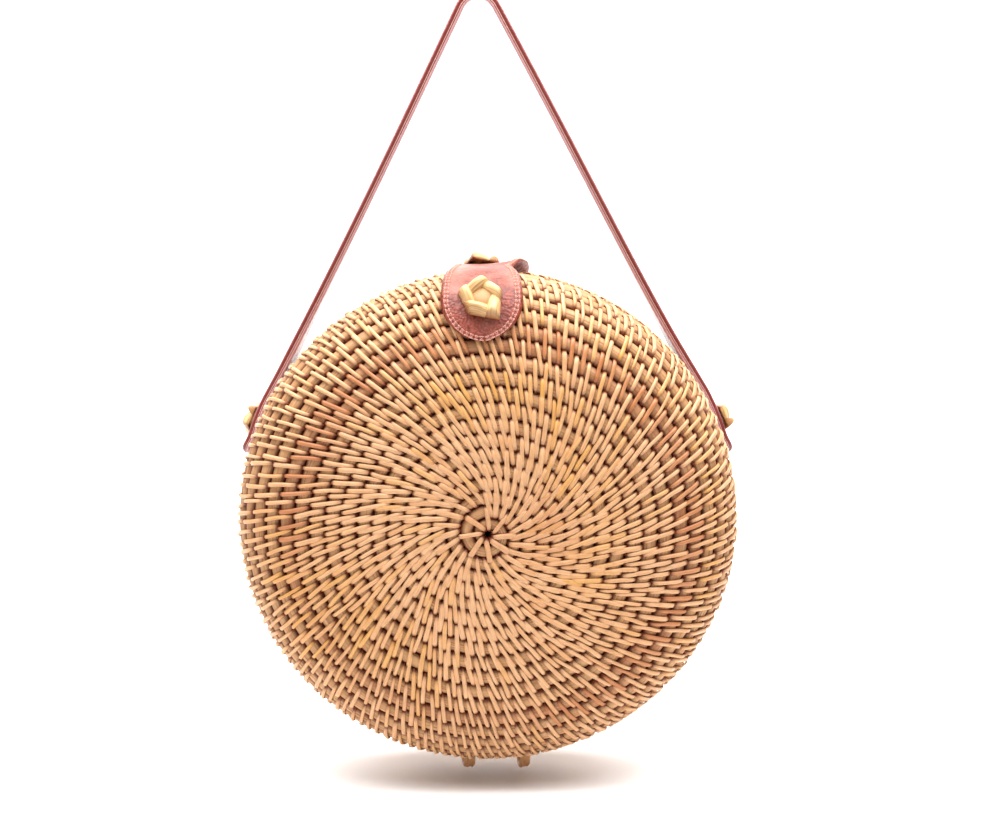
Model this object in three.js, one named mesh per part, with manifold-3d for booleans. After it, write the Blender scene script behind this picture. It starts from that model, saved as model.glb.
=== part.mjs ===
// Round rattan basket bag: two coiled half shells hinged at the bottom on rattan loops,
// a leather tab buttoned over the top on a rattan knot, and a leather shoulder strap.
// Millimetres, +Z up, the front faces -Y. The origin is the inside of the strap's bend,
// where a hook or a shoulder carries the bag.
import * as THREE from 'three';
import { mergeVertices } from 'three/addons/utils/BufferGeometryUtils.js';
import Module from 'manifold-3d';

// Driving dimensions of the shells
const bag_width = 200;
const bag_height = 197;
const bag_depth = 78;
const pillow_power = 3.4; // 2 is an ellipse, larger gives a flatter face and a squarer edge
const coil_pitch = 6;
const rib_depth = 0.7;
const shell_wall = 5;
const eye_radius = 1.8;
const rim_gap = 0.5;
const shell_sides = 38;
const inner_steps = 10;

// Fits
const seat_gap = 0.3;
const stem_clearance = 0.3;
const loop_clearance = 0.35;

// Strap
const strap_width = 10;
const strap_thickness = 3.5;
const strap_back = 18.5; // where it lies on the wall, behind the seam
const strap_drop = 203.5; // from the strap's bend down to the middle of the bag
const strap_shift = 3.6; // the bag's middle lies this far to the right of the bend
const strap_bend_radius = 6;
const strap_tail = 15; // leather left below each strap knot
const strap_knot_rise = 21; // degrees above the horizontal through the bag's middle

// Closure tab
const tab_thickness = 1.7;
const tab_shift = 2.2; // the tab and its knots sit this far left of the bag's middle
const tab_lobe_width = 31.7;
const tab_waist_width = 24.6;
const tab_front_reach = 30; // along the shell, from the seam to the front knot
const tab_rear_reach = 20; // along the shell, from the seam to the rear knot
const tab_tail = 16; // leather left beyond each knot

// Knots: a folded head outside, a stem through the wall, a tied end inside
const button_radius = 8.5;
const button_height = 5;
const strap_knot_radius = 6.5;
const strap_knot_height = 4.2;
const knot_stem_radius = 1.9;
const knot_tie_radius = 3.2;
const knot_tie_height = 1.6;
const tie_gap = 0.9;
const knot_sides = 14;

// Hinge loops, which are also the small feet
const loop_radius = 6.4;
const loop_wire = 2; // thickness of the winding, across the ring
const loop_width = 4.4;
const loop_spacing = 23;
const loop_shift = 3;
const loop_sides = 24;

const rattan_colour = 0xdcae78;
const knot_colour = 0xe8cf95;
const leather_colour = 0x9a5248;

const wasm = await Module();
wasm.setup();

function cleanGeometry(geometry) {
  geometry.deleteAttribute('normal');
  geometry.deleteAttribute('uv');
  const merged = mergeVertices(geometry, 1e-4);
  merged.clearGroups();
  return merged;
}

function toSolid(geometry) {
  const merged = cleanGeometry(geometry);
  return new wasm.Manifold(
    new wasm.Mesh({
      numProp: 3,
      vertProperties: new Float32Array(merged.attributes.position.array),
      triVerts: new Uint32Array(merged.index.array),
    })
  );
}

function fromSolid(solid) {
  const mesh = solid.getMesh();
  const geometry = new THREE.BufferGeometry();
  geometry.setAttribute('position', new THREE.BufferAttribute(mesh.vertProperties, 3));
  geometry.setIndex(new THREE.BufferAttribute(mesh.triVerts, 1));
  return geometry;
}

function cutFrom(geometry, cutters) {
  let solid = toSolid(geometry);
  for (const cutter of cutters) {
    solid = solid.subtract(toSolid(cutter));
  }
  return fromSolid(solid);
}

// The pillow outline of one half, from the middle of its face (0) to the rim, as points with
// their outward normals. x is the distance from the bag's axis, y the distance from the seam.
const outline_steps = 400;

function outlinePoint(turn) {
  const share = 2 / pillow_power;
  const across = Math.pow(Math.sin(turn), share);
  const deep = Math.pow(Math.cos(turn), share);
  return new THREE.Vector2((across * bag_width) / 2, (deep * bag_depth) / 2);
}

function outlineNormal(point) {
  const across = Math.pow((2 * point.x) / bag_width, pillow_power - 1) / bag_width;
  const deep = Math.pow((2 * point.y) / bag_depth, pillow_power - 1) / bag_depth;
  return new THREE.Vector2(across, deep).normalize();
}

const outline = [];
for (let step = 0; step <= outline_steps; step += 1) {
  // Steps bunch up at both ends, where the outline is flattest
  const even = step / outline_steps;
  const turn = (Math.PI / 2) * (even * even * (3 - 2 * even));
  const point = outlinePoint(turn);
  const last = outline[outline.length - 1];
  const length = last ? last.length + last.point.distanceTo(point) : 0;
  outline.push({ point, normal: outlineNormal(point), length });
}
const outline_length = outline[outline.length - 1].length;

// The outline at a length measured from the face's middle, moved outwards by offset
function outlineAt(length, offset) {
  const next = Math.max(1, outline.findIndex((entry) => entry.length >= length - 1e-9));
  const a = outline[next - 1];
  const b = outline[next];
  const share = (length - a.length) / (b.length - a.length);
  const point = a.point.clone().lerp(b.point, share);
  const normal = a.normal.clone().lerp(b.normal, share).normalize();
  return { point: point.addScaledVector(normal, offset), normal };
}

// One half shell, with a rib for each round of the coil, its face towards side * Y
function shellGeometry(side) {
  const rounds = Math.round(outline_length / coil_pitch);
  const half_round = outline_length / rounds / 2;
  const rim = rim_gap / 2;
  const profile = [new THREE.Vector2(eye_radius, outlineAt(eye_radius, 0).point.y)];
  for (let step = 1; step < 2 * rounds; step += 1) {
    const valley = step % 2 === 0;
    profile.push(outlineAt(step * half_round, valley ? -rib_depth : 0).point);
  }
  profile.push(new THREE.Vector2(bag_width / 2 - rib_depth, rim));
  profile.push(new THREE.Vector2(bag_width / 2 - shell_wall, rim));
  const inner_end = outline_length - shell_wall;
  for (let step = inner_steps; step >= 0; step -= 1) {
    const length = Math.max(eye_radius, (inner_end * step) / inner_steps);
    profile.push(outlineAt(length, -shell_wall).point);
  }
  profile.push(profile[0].clone());
  if (side < 0) {
    profile.reverse();
  }
  const placed = profile.map((point) => new THREE.Vector2(point.x, side * point.y));
  const geometry = new THREE.LatheGeometry(placed.reverse(), shell_sides);
  geometry.scale(1, 1, bag_height / bag_width);
  return geometry;
}

// A ring round the hinge line, for a loop itself and, with a clearance, for its slots
function loopGeometry(place, clearance) {
  const inner = loop_radius - loop_wire / 2 - clearance;
  const outer = loop_radius + loop_wire / 2 + clearance;
  const half = loop_width / 2 + clearance;
  const corner = loop_wire / 4;
  const section = [
    new THREE.Vector2(inner, -half + corner),
    new THREE.Vector2(inner + corner, -half),
    new THREE.Vector2(outer - corner, -half),
    new THREE.Vector2(outer, -half + corner),
    new THREE.Vector2(outer, half - corner),
    new THREE.Vector2(outer - corner, half),
    new THREE.Vector2(inner + corner, half),
    new THREE.Vector2(inner, half - corner),
  ];
  section.push(section[0].clone());
  const geometry = new THREE.LatheGeometry(section, loop_sides);
  geometry.rotateZ(Math.PI / 2);
  geometry.translate(place.x, place.y, place.z);
  return geometry;
}

// A flat strip bent along a path in a plane. stations are shares of the path's length,
// widthAt gives the width and tiltAt the strip's turn about the path at such a share, and
// place turns (along, up, across, share) into a point.
function bentStrip(path, stations, widthAt, tiltAt, thickness, place) {
  const steps = stations.length - 1;
  const geometry = new THREE.BoxGeometry(1, 1, 1, steps, 2, 1);
  const position = geometry.attributes.position;
  for (let index = 0; index < position.count; index += 1) {
    const step = Math.round((position.getX(index) + 0.5) * steps);
    const share = stations[step];
    const centre = path.getPoint(share);
    const tangent = path.getTangent(share);
    const section = new THREE.Vector2(position.getY(index) * widthAt(share), 0);
    section.y = position.getZ(index) * thickness;
    section.rotateAround(new THREE.Vector2(0, 0), -tiltAt(share));
    const along = centre.x - tangent.y * section.y;
    const up = centre.y + tangent.x * section.y;
    const point = place(along, up, section.x, share);
    position.setXYZ(index, point.x, point.y, point.z);
  }
  return geometry;
}

// A strip's width that rounds off over the last stretch at both of its ends, down to a share
const blunt_end = 0.3;

function roundedEnd(share, length, stretch, width) {
  const from_end = Math.min(share, 1 - share) * length;
  const inside = Math.min(1, from_end / stretch);
  const fullness = Math.sqrt(Math.max(0, 1 - (1 - inside) * (1 - inside)));
  return width * Math.max(blunt_end, fullness);
}

// A knot's head from its underside to the middle of its top, as shares of its radius and height
const knot_head = [
  { out: 0.82, up: 0 },
  { out: 1, up: 0.3 },
  { out: 0.9, up: 0.7 },
  { out: 0.5, up: 1 },
  { out: 0, up: 0.8 },
];

// A knot on the Z axis: tied end below, stem through what it holds, folded head above z = 0
function knotGeometry(head_radius, head_height, held_depth) {
  const tie_top = -held_depth - tie_gap;
  const tie_low = tie_top - knot_tie_height;
  const profile = [
    new THREE.Vector2(0, tie_low),
    new THREE.Vector2((knot_tie_radius + knot_stem_radius) / 2, tie_low),
    new THREE.Vector2(knot_tie_radius, tie_low + knot_tie_height / 2),
    new THREE.Vector2(knot_stem_radius, tie_top),
    new THREE.Vector2(knot_stem_radius, seat_gap),
  ];
  for (const { out, up } of knot_head) {
    profile.push(new THREE.Vector2(head_radius * out, seat_gap + head_height * up));
  }
  const geometry = new THREE.LatheGeometry(profile, knot_sides);
  geometry.rotateX(Math.PI / 2);
  return geometry;
}

// The hole that a knot's stem passes through, long enough for tab, strap and wall together
function stemHole() {
  const radius = knot_stem_radius + stem_clearance;
  const geometry = new THREE.CylinderGeometry(radius, radius, 6 * shell_wall, knot_sides);
  geometry.rotateX(Math.PI / 2);
  return geometry;
}

// Turns +Z onto a direction and moves the origin to a point
function seated(geometry, point, direction) {
  const turn = new THREE.Quaternion().setFromUnitVectors(new THREE.Vector3(0, 0, 1), direction);
  geometry.applyQuaternion(turn);
  geometry.translate(point.x, point.y, point.z);
  return geometry;
}

// A point above the shell on the tab's upright middle plane: side -1 in front, 1 behind,
// back_from_rim along the shell from the seam, offset outwards
const squash = bag_height / bag_width;

function topSeat(side, back_from_rim, offset) {
  const at = outlineAt(outline_length - back_from_rim, 0);
  const direction = new THREE.Vector3(0, side * at.normal.y, at.normal.x / squash).normalize();
  const point = new THREE.Vector3(-tab_shift, side * at.point.y, at.point.x * squash);
  return { point: point.addScaledVector(direction, offset), direction };
}

// The seam's radius at an angle above the horizontal, on a bag that is wider than high
function seamRadius(rise) {
  const along = (2 * Math.cos(rise)) / bag_width;
  const up = (2 * Math.sin(rise)) / bag_height;
  return 1 / Math.hypot(along, up);
}

// The wall where the strap lies on it: its radius as a share of the seam's, and its normal
const strap_wall_fall = Math.pow((2 * strap_back) / bag_depth, pillow_power);
const strap_wall_share = Math.pow(1 - strap_wall_fall, 1 / pillow_power);
const strap_wall_normal = outlineNormal(
  new THREE.Vector2((strap_wall_share * bag_width) / 2, strap_back)
);

// The strap's ends lie on a circle that clears the wall from the tail to above the knot
const knot_rise = THREE.MathUtils.degToRad(strap_knot_rise);
const tail_turn = (2 * strap_tail) / bag_width;
const widest_seam = Math.max(
  seamRadius(knot_rise - tail_turn),
  seamRadius(knot_rise),
  seamRadius(knot_rise + tail_turn)
);
const strap_reach = widest_seam * strap_wall_share;

// Where a strap knot goes through, side -1 on the left and 1 on the right
function strapSeat(side, offset) {
  const away = new THREE.Vector3(side * Math.cos(knot_rise), 0, Math.sin(knot_rise));
  const direction = away.clone().multiplyScalar(strap_wall_normal.x);
  direction.y = strap_wall_normal.y;
  const point = away.multiplyScalar(strap_reach);
  point.y = strap_back;
  return { point: point.addScaledVector(direction, offset), direction };
}

const tab_offset = seat_gap + tab_thickness / 2;
const front_seat = topSeat(-1, tab_front_reach, seat_gap + tab_thickness);
const rear_seat = topSeat(1, tab_rear_reach, seat_gap + tab_thickness);
const left_seat = strapSeat(-1, seat_gap + strap_thickness);
const right_seat = strapSeat(1, seat_gap + strap_thickness);

const hinge_height = -bag_height / 2;
const left_loop = new THREE.Vector3(loop_shift - loop_spacing / 2, 0, hinge_height);
const right_loop = new THREE.Vector3(loop_shift + loop_spacing / 2, 0, hinge_height);

const front_hole = () => seated(stemHole(), front_seat.point, front_seat.direction);
const rear_hole = () => seated(stemHole(), rear_seat.point, rear_seat.direction);
const left_hole = () => seated(stemHole(), left_seat.point, left_seat.direction);
const right_hole = () => seated(stemHole(), right_seat.point, right_seat.direction);
const loop_slots = () => [
  loopGeometry(left_loop, loop_clearance),
  loopGeometry(right_loop, loop_clearance),
];

function frontShell() {
  return cutFrom(shellGeometry(-1), [...loop_slots(), front_hole()]);
}

function backShell() {
  const holes = [rear_hole(), left_hole(), right_hole()];
  return cutFrom(shellGeometry(1), [...loop_slots(), ...holes]);
}

// The tab lies on the ribs' crests from its front end over the seam to its rear end
function closureTab() {
  const front = tab_front_reach + tab_tail;
  const rear = tab_rear_reach + tab_tail;
  const length = front + rear;
  const steps = 22;
  const points = [];
  for (let step = 0; step <= steps; step += 1) {
    const from_seam = -front + (length * step) / steps;
    const side = from_seam < 0 ? -1 : 1;
    const seat = topSeat(side, Math.abs(from_seam), tab_offset);
    points.push(new THREE.Vector2(seat.point.y, seat.point.z));
  }
  const path = new THREE.SplineCurve(points);
  const stations = points.map((point, index) => index / steps);
  const waist = front / length;
  const widthAt = (share) => {
    const from_waist = Math.min(1, Math.abs(share - waist) / (waist / 2));
    const ease = from_waist * from_waist * (3 - 2 * from_waist);
    const full = tab_waist_width + (tab_lobe_width - tab_waist_width) * ease;
    return roundedEnd(share, length, tab_lobe_width / 2, full);
  };
  const flat = () => 0;
  const place = (along, up, across) => new THREE.Vector3(-across - tab_shift, along, up);
  const strip = bentStrip(path, stations, widthAt, flat, tab_thickness, place);
  return cutFrom(strip, [front_hole(), rear_hole()]);
}

// The strap's middle line: tail on the left wall, a straight run to the bend, and back down
const strap_lift = seat_gap + strap_thickness / 2;

function strapPath() {
  const reach = strap_reach + strap_lift * strap_wall_normal.x;
  const bend_centre = new THREE.Vector2(-strap_shift, strap_drop - strap_bend_radius);
  const bend = strap_bend_radius + strap_thickness / 2;
  const path = new THREE.Path();
  // On each side the straight run touches both the wall's circle and the bend's circle
  const runTurn = (side) => {
    const to_bend = bend_centre.clone();
    const distance = to_bend.length();
    const lean = Math.atan2(side * to_bend.x, to_bend.y);
    return Math.PI / 2 - lean - Math.acos((reach - bend) / distance);
  };
  const left = Math.PI - runTurn(-1);
  const right = runTurn(1);
  const left_tail = Math.PI - knot_rise + tail_turn;
  const right_tail = knot_rise - tail_turn;
  path.absarc(0, 0, reach, left_tail, left, true);
  path.absarc(bend_centre.x, bend_centre.y, bend, left, right, true);
  path.absarc(0, 0, reach, right, right_tail, true);
  return path;
}

function shoulderStrap() {
  const path = strapPath();
  const length = path.getLength();
  const ends = path.getCurveLengths();
  const pieces = [6, 8, 8, 8, 6];
  const stations = [0];
  ends.forEach((end, index) => {
    const start = index ? ends[index - 1] : 0;
    for (let step = 1; step <= pieces[index]; step += 1) {
      stations.push((start + ((end - start) * step) / pieces[index]) / length);
    }
  });
  const widthAt = (share) => roundedEnd(share, length, strap_width / 2, strap_width);
  // 1 where the strap lies on the wall, 0 at the bend over the bag's middle plane
  const onWall = (share) => {
    const place_along = share * length;
    const left = (ends[1] - place_along) / (ends[1] - ends[0]);
    const right = (place_along - ends[2]) / (ends[3] - ends[2]);
    return THREE.MathUtils.clamp(Math.max(left, right), 0, 1);
  };
  const lean = Math.atan2(strap_wall_normal.y, strap_wall_normal.x);
  const tiltAt = (share) => lean * onWall(share);
  const wall_back = strap_back + strap_lift * strap_wall_normal.y;
  const place = (along, up, across, share) =>
    new THREE.Vector3(along, wall_back * onWall(share) + across, up);
  const strip = bentStrip(path, stations, widthAt, tiltAt, strap_thickness, place);
  return cutFrom(strip, [left_hole(), right_hole()]);
}

function knot(seat, radius, height, held_depth) {
  return seated(knotGeometry(radius, height, held_depth), seat.point, seat.direction);
}

function frontKnot() {
  const held = seat_gap + tab_thickness + shell_wall;
  return knot(front_seat, button_radius, button_height, held);
}

function rearKnot() {
  const held = seat_gap + tab_thickness + shell_wall;
  return knot(rear_seat, button_radius, button_height, held);
}

function strapKnot(seat) {
  // The strap's circle clears the oval's widest place, so the wall at the knot lies deeper
  const oval_fall = widest_seam - seamRadius(knot_rise);
  const held = seat_gap + strap_thickness + shell_wall + oval_fall;
  return knot(seat, strap_knot_radius, strap_knot_height, held);
}

const rattan = { color: rattan_colour, roughness: 0.6, metalness: 0 };
const straw = { color: knot_colour, roughness: 0.55, metalness: 0 };
const leather = { color: leather_colour, roughness: 0.5, metalness: 0 };

function piece(name, geometry, finish) {
  const mesh = new THREE.Mesh(cleanGeometry(geometry), new THREE.MeshStandardMaterial(finish));
  mesh.geometry.computeVertexNormals();
  mesh.name = name;
  return mesh;
}

const bag = new THREE.Group();
bag.position.set(strap_shift, 0, -strap_drop);
bag.add(piece('front_shell', frontShell(), rattan));
bag.add(piece('back_shell', backShell(), rattan));
bag.add(piece('closure_tab', closureTab(), leather));
bag.add(piece('front_knot', frontKnot(), straw));
bag.add(piece('rear_knot', rearKnot(), straw));
bag.add(piece('shoulder_strap', shoulderStrap(), leather));
bag.add(piece('left_strap_knot', strapKnot(left_seat), straw));
bag.add(piece('right_strap_knot', strapKnot(right_seat), straw));
bag.add(piece('left_hinge_loop', loopGeometry(left_loop, 0), rattan));
bag.add(piece('right_hinge_loop', loopGeometry(right_loop, 0), rattan));

const group = new THREE.Group();
group.add(bag);

export default group;
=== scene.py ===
"""Round rattan basket bag: the finish of a coiled and stitched cane bag with leather tab and strap."""

import math

import bmesh
import bpy
import numpy as np
from mathutils import Matrix, Vector


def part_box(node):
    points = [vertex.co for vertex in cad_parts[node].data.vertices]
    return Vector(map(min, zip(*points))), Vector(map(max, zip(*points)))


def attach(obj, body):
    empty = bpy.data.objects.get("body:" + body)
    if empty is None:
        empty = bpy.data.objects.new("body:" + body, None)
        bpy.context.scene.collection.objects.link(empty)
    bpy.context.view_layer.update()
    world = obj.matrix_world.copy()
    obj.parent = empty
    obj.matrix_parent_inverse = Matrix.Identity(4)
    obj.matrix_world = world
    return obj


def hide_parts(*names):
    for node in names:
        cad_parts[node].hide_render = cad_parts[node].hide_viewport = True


bl_info = {
    "name": "Round rattan basket bag",
    "version": (1, 0, 0),
    "blender": (4, 5, 0),
    "location": "View3D > Sidebar > Basket Bag",
    "description": "Coils, stitches, knots and leather of a round rattan bag, built on its packed frame",
    "category": "Add Mesh",
}

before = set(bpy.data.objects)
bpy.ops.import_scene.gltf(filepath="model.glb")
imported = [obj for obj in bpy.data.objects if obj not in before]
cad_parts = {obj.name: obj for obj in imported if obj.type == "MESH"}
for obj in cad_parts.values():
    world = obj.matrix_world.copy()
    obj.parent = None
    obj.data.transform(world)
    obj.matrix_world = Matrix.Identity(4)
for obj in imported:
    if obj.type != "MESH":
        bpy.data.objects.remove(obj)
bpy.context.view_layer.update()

MM = 0.001
FRONT, BACK = -1, 1

# Places and sizes taken from the frame
front_low, front_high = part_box("front_shell")
back_low, back_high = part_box("back_shell")
loop_boxes = [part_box(name) for name in ("left_hinge_loop", "right_hinge_loop")]
bag_middle = Vector(((front_low.x + front_high.x) / 2, 0, (front_low.z + front_high.z) / 2))
bag_width = front_high.x - front_low.x
bag_height = front_high.z - front_low.z
bag_depth = back_high.y - front_low.y
feet_level = min(low.z for low, high in loop_boxes)


def srgb(code):
    """An sRGB hex colour as linear RGBA."""
    shares = [int(code[i:i + 2], 16) / 255 for i in (0, 2, 4)]
    linear = [c / 12.92 if c <= 0.04045 else ((c + 0.055) / 1.055) ** 2.4 for c in shares]
    return (*linear, 1)


def colour(name, description, code):
    """A colour property that a user would change."""
    return bpy.props.FloatVectorProperty(
        name=name, description=description, subtype="COLOR", size=4, min=0, max=1, default=srgb(code)
    )


def length(name, description, millimetres):
    """A length property, given in millimetres."""
    return bpy.props.FloatProperty(
        name=name, description=description, unit="LENGTH", min=0, default=millimetres * MM
    )


def count(name, description, default):
    """A whole-number property."""
    return bpy.props.IntProperty(name=name, description=description, min=1, default=default)


class BasketSizes(bpy.types.PropertyGroup):
    """Sizes of the coil and of its stitches"""

    pillow_power: bpy.props.FloatProperty(
        name="Pillow power", description="2 is an ellipse, larger gives a flatter face", default=3.4
    )
    eye_radius: length("Eye radius", "Hole in the middle of each face", 1.6)
    first_pitch: length("First pitch", "Width of the coil's first round", 5.1)
    pitch_growth: length("Pitch growth", "How much wider each round is than twice the last", 0.058)
    outer_pitch: length("Outer pitch", "Widest round of the coil", 6.4)
    coil_height: length("Coil height", "Thickness of the coil through the wall", 4.8)
    coil_sink: length("Coil sink", "Depth of the coil's crests under the stitched surface", 0.6)
    stitch_wide: length("Inner stitch width", "Stitch width near the eye", 2.05)
    stitch_slim: length("Outer stitch width", "Stitch width on the rounded edge", 1.65)
    stitch_height: length("Stitch thickness", "Thickness of the split cane", 0.8)
    spacing_inner: length("Inner spacing", "From stitch to stitch near the eye", 3)
    spacing_outer: length("Outer spacing", "From stitch to stitch near the rim", 7.6)
    first_stitches: count("First stitches", "Stitches of the first round", 8)
    coil_steps: count("Coil steps", "Mesh steps in one round of the coil", 96)


class LeatherSizes(bpy.types.PropertyGroup):
    """Sizes of the closure tab and of the strap"""

    tab_thickness: length("Tab thickness", "Leather of the closure tab", 1.7)
    tab_shift: length("Tab shift", "How far the tab sits left of the bag's middle", 2.2)
    tab_skew: length("Tab skew", "How far the tab's rear end turns to the right", 4)
    tab_lobe: length("Tab lobe", "Widest place of the tab", 31.7)
    tab_waist: length("Tab waist", "Narrowest place of the tab, over the seam", 23.6)
    tab_front: length("Front reach", "Along the shell, from the seam to the front knot", 30)
    tab_rear: length("Rear reach", "Along the shell, from the seam to the rear knot", 20)
    tab_tail: length("Tab tail", "Leather beyond each knot", 16)
    thread_inset: length("Thread inset", "From the tab's edge to its sewing", 2.1)
    thread_step: length("Thread step", "Length of one stitch of thread", 2)
    strap_width: length("Strap width", "Across the strap", 10)
    strap_thickness: length("Strap thickness", "Both layers of the strap", 3.5)
    strap_back: length("Strap back", "Where the strap lies on the wall, behind the seam", 18.5)
    strap_bend: length("Strap bend", "Radius inside the bend at the top", 6)
    strap_tail: length("Strap tail", "Leather below each strap knot", 15)
    strap_knot_rise: bpy.props.FloatProperty(
        name="Strap knot rise",
        description="Angle of the strap knots above the horizontal",
        subtype="ANGLE",
        default=math.radians(21),
    )
    seat_gap: length("Seat gap", "Gap between a piece and what it lies on", 0.3)


class KnotSizes(bpy.types.PropertyGroup):
    """Sizes of the folded rattan knots and of the hinge loops"""

    button_radius: length("Button radius", "Front and rear knots", 8.9)
    button_height: length("Button height", "Front and rear knots", 5.4)
    strap_knot_radius: length("Strap knot radius", "Knots at the strap's ends", 6.8)
    strap_knot_height: length("Strap knot height", "Knots at the strap's ends", 4.4)
    loop_strands: count("Loop strands", "Turns of cane in one hinge loop", 3)


class BagColours(bpy.types.PropertyGroup):
    """Colours of the cane and of the leather"""

    cane_pale: colour("Pale cane", "Most stitches", "DDB084")
    cane_gold: colour("Golden cane", "Yellowed stitches", "D8A14E")
    cane_red: colour("Red cane", "Stitches in the stained ring", "B06A3C")
    core_tan: colour("Coil tan", "Cane bundle between the stitches", "BC8A5A")
    core_red: colour("Coil red", "Cane bundle in the stained ring", "A2643C")
    # Painted shade: the coil darkens to this colour away from its crests, between the rounds
    gap_shade_brown: colour("Gap brown", "Depths between the rounds", "5C1A04")
    knot_straw: colour("Knot straw", "Folded knots", "E2C088")
    tab_brown: colour("Tab leather", "Closure tab", "96402A")
    tab_dark: colour("Tab leather, dark", "Creases of the tab's grain", "5E2016")
    strap_brown: colour("Strap leather", "Faces of the strap", "9A5548")
    strap_edge: colour("Strap edge", "Painted edge of the strap", "762A20")
    thread_pink: colour("Thread", "Sewing on the tab", "CF9484")
    paper: colour("Floor", "Plain studio paper", "F6F5F4")


class PhotoView(bpy.types.PropertyGroup):
    """Where the photograph was taken from"""

    distance: length("Distance", "From the camera to the bag's middle", 800)
    rise: bpy.props.FloatProperty(
        name="Rise", description="Camera above the bag's middle", subtype="ANGLE", default=math.radians(12)
    )
    scale: bpy.props.FloatProperty(
        name="Scale", description="Photograph pixels to a metre at the bag's middle", default=2475
    )
    middle_x: bpy.props.FloatProperty(
        name="Middle x", description="Bag's middle in the photograph, pixels from its left", default=487.5
    )
    middle_y: bpy.props.FloatProperty(
        name="Middle y", description="Bag's middle in the photograph, pixels from its top", default=514.5
    )
    image_width: count("Image width", "Photograph's width in pixels", 1000)
    image_height: count("Image height", "Photograph's height in pixels", 840)


# Outline of one half shell


class Pillow:
    """The rounded outline of a half shell, followed from the middle of its face to the rim."""

    def __init__(self, power):
        self.power = power
        turn = np.linspace(0, 1, 1601)
        turn = (math.pi / 2) * turn * turn * (3 - 2 * turn)
        self.out = (bag_width / 2) * np.sin(turn) ** (2 / power)
        self.deep = (bag_depth / 2) * np.cos(turn) ** (2 / power)
        steps = np.hypot(np.diff(self.out), np.diff(self.deep))
        self.along = np.concatenate([[0], np.cumsum(steps)])
        out_slope = (2 * self.out / bag_width) ** (power - 1) / bag_width
        deep_slope = (2 * self.deep / bag_depth) ** (power - 1) / bag_depth
        size = np.hypot(out_slope, deep_slope)
        self.normal_out = out_slope / size
        self.normal_deep = deep_slope / size
        self.length = float(self.along[-1])

    def radius(self, along):
        """Distance from the bag's axis at a length along the outline."""
        return np.interp(along, self.along, self.out)

    def point(self, along, turn, lift, side):
        """Points at a length along the outline, a turn clockwise from the top as seen from
        outside that half, and a lift above the surface. side is FRONT or BACK."""
        out = np.interp(along, self.along, self.out)
        deep = np.interp(along, self.along, self.deep)
        normal_out = np.interp(along, self.along, self.normal_out)
        normal_deep = np.interp(along, self.along, self.normal_deep)
        out = out + lift * normal_out
        deep = deep + lift * normal_deep
        x = bag_middle.x - side * out * np.sin(turn)
        z = bag_middle.z + out * np.cos(turn) * (bag_height / bag_width)
        return np.stack([x, side * deep, z], -1)

    def seat(self, side, from_rim, lift):
        """A point on the bag's upright middle plane above the top of one half, and its normal."""
        along = self.length - from_rim
        out = float(np.interp(along, self.along, self.out))
        deep = float(np.interp(along, self.along, self.deep))
        up = float(np.interp(along, self.along, self.normal_out))
        away = float(np.interp(along, self.along, self.normal_deep))
        squash = bag_height / bag_width
        direction = Vector((0, side * away, up / squash)).normalized()
        place = Vector((bag_middle.x, side * deep, bag_middle.z + out * squash))
        return place + direction * lift, direction


class Coil:
    """The spiral of the coil: where its rounds lie along the outline, turn by turn."""

    def __init__(self, sizes, pillow):
        self.sizes = sizes
        self.pillow = pillow
        growth = 2 * sizes.pitch_growth
        self.grown_turns = (sizes.outer_pitch - sizes.first_pitch) / growth
        self.grown_reach = self.valley_raw(self.grown_turns)
        self.turns = self.grown_turns + (pillow.length - self.grown_reach) / sizes.outer_pitch

    def valley_raw(self, turns):
        """The inner edge of a round while the rounds still grow wider."""
        sizes = self.sizes
        return sizes.eye_radius + sizes.first_pitch * turns + sizes.pitch_growth * turns * turns

    def valley(self, turns):
        """The length along the outline of the valley on the inner side of a round."""
        turns = np.asarray(turns, float)
        grown = self.valley_raw(np.minimum(turns, self.grown_turns))
        even = self.sizes.outer_pitch * np.maximum(turns - self.grown_turns, 0)
        return np.clip(grown + even, self.sizes.eye_radius * 0.9, self.pillow.length)


# Meshes from strips


def strand_mesh(name, rings, values=None, uvs=None):
    """One object from many closed tubes of the same make. rings has the shape tubes, stations,
    section points, 3. values (points, 4) goes to the attribute hand, uvs to a UV map."""
    tubes, stations, points = rings.shape[:3]
    vertices = rings.reshape(-1, 3)
    tube = np.arange(tubes)[:, None, None] * stations * points
    station = np.arange(stations - 1)[None, :, None] * points
    point = np.arange(points)[None, None, :]
    after = (point + 1) % points
    quads = np.stack(
        [
            tube + station + point,
            tube + station + after,
            tube + station + points + after,
            tube + station + points + point,
        ],
        -1,
    ).reshape(-1, 4)
    ring = np.arange(points)
    starts = (np.arange(tubes) * stations * points)[:, None] + ring[::-1]
    ends = (np.arange(tubes) * stations * points)[:, None] + (stations - 1) * points + ring
    faces = quads.tolist() + starts.tolist() + ends.tolist()
    mesh = bpy.data.meshes.new(name)
    mesh.from_pydata(vertices.tolist(), [], faces)
    mesh.polygons.foreach_set("use_smooth", [True] * len(mesh.polygons))
    if values is not None:
        hand = mesh.attributes.new("hand", "FLOAT_COLOR", "POINT")
        hand.data.foreach_set("color", np.asarray(values, np.float32).reshape(-1))
    if uvs is not None:
        layer = mesh.uv_layers.new(name="fibre")
        corner = np.zeros(len(mesh.loops), np.int32)
        mesh.loops.foreach_get("vertex_index", corner)
        layer.data.foreach_set("uv", np.asarray(uvs, np.float32).reshape(-1, 2)[corner].reshape(-1))
    mesh.update()
    piece = bpy.data.objects.new(name, mesh)
    bpy.context.scene.collection.objects.link(piece)
    return piece


def turned_outwards(piece):
    """Recalculates the normals of a piece made of closed bodies."""
    shape = bmesh.new()
    shape.from_mesh(piece.data)
    bmesh.ops.recalc_face_normals(shape, faces=shape.faces)
    shape.to_mesh(piece.data)
    shape.free()
    return piece


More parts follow.
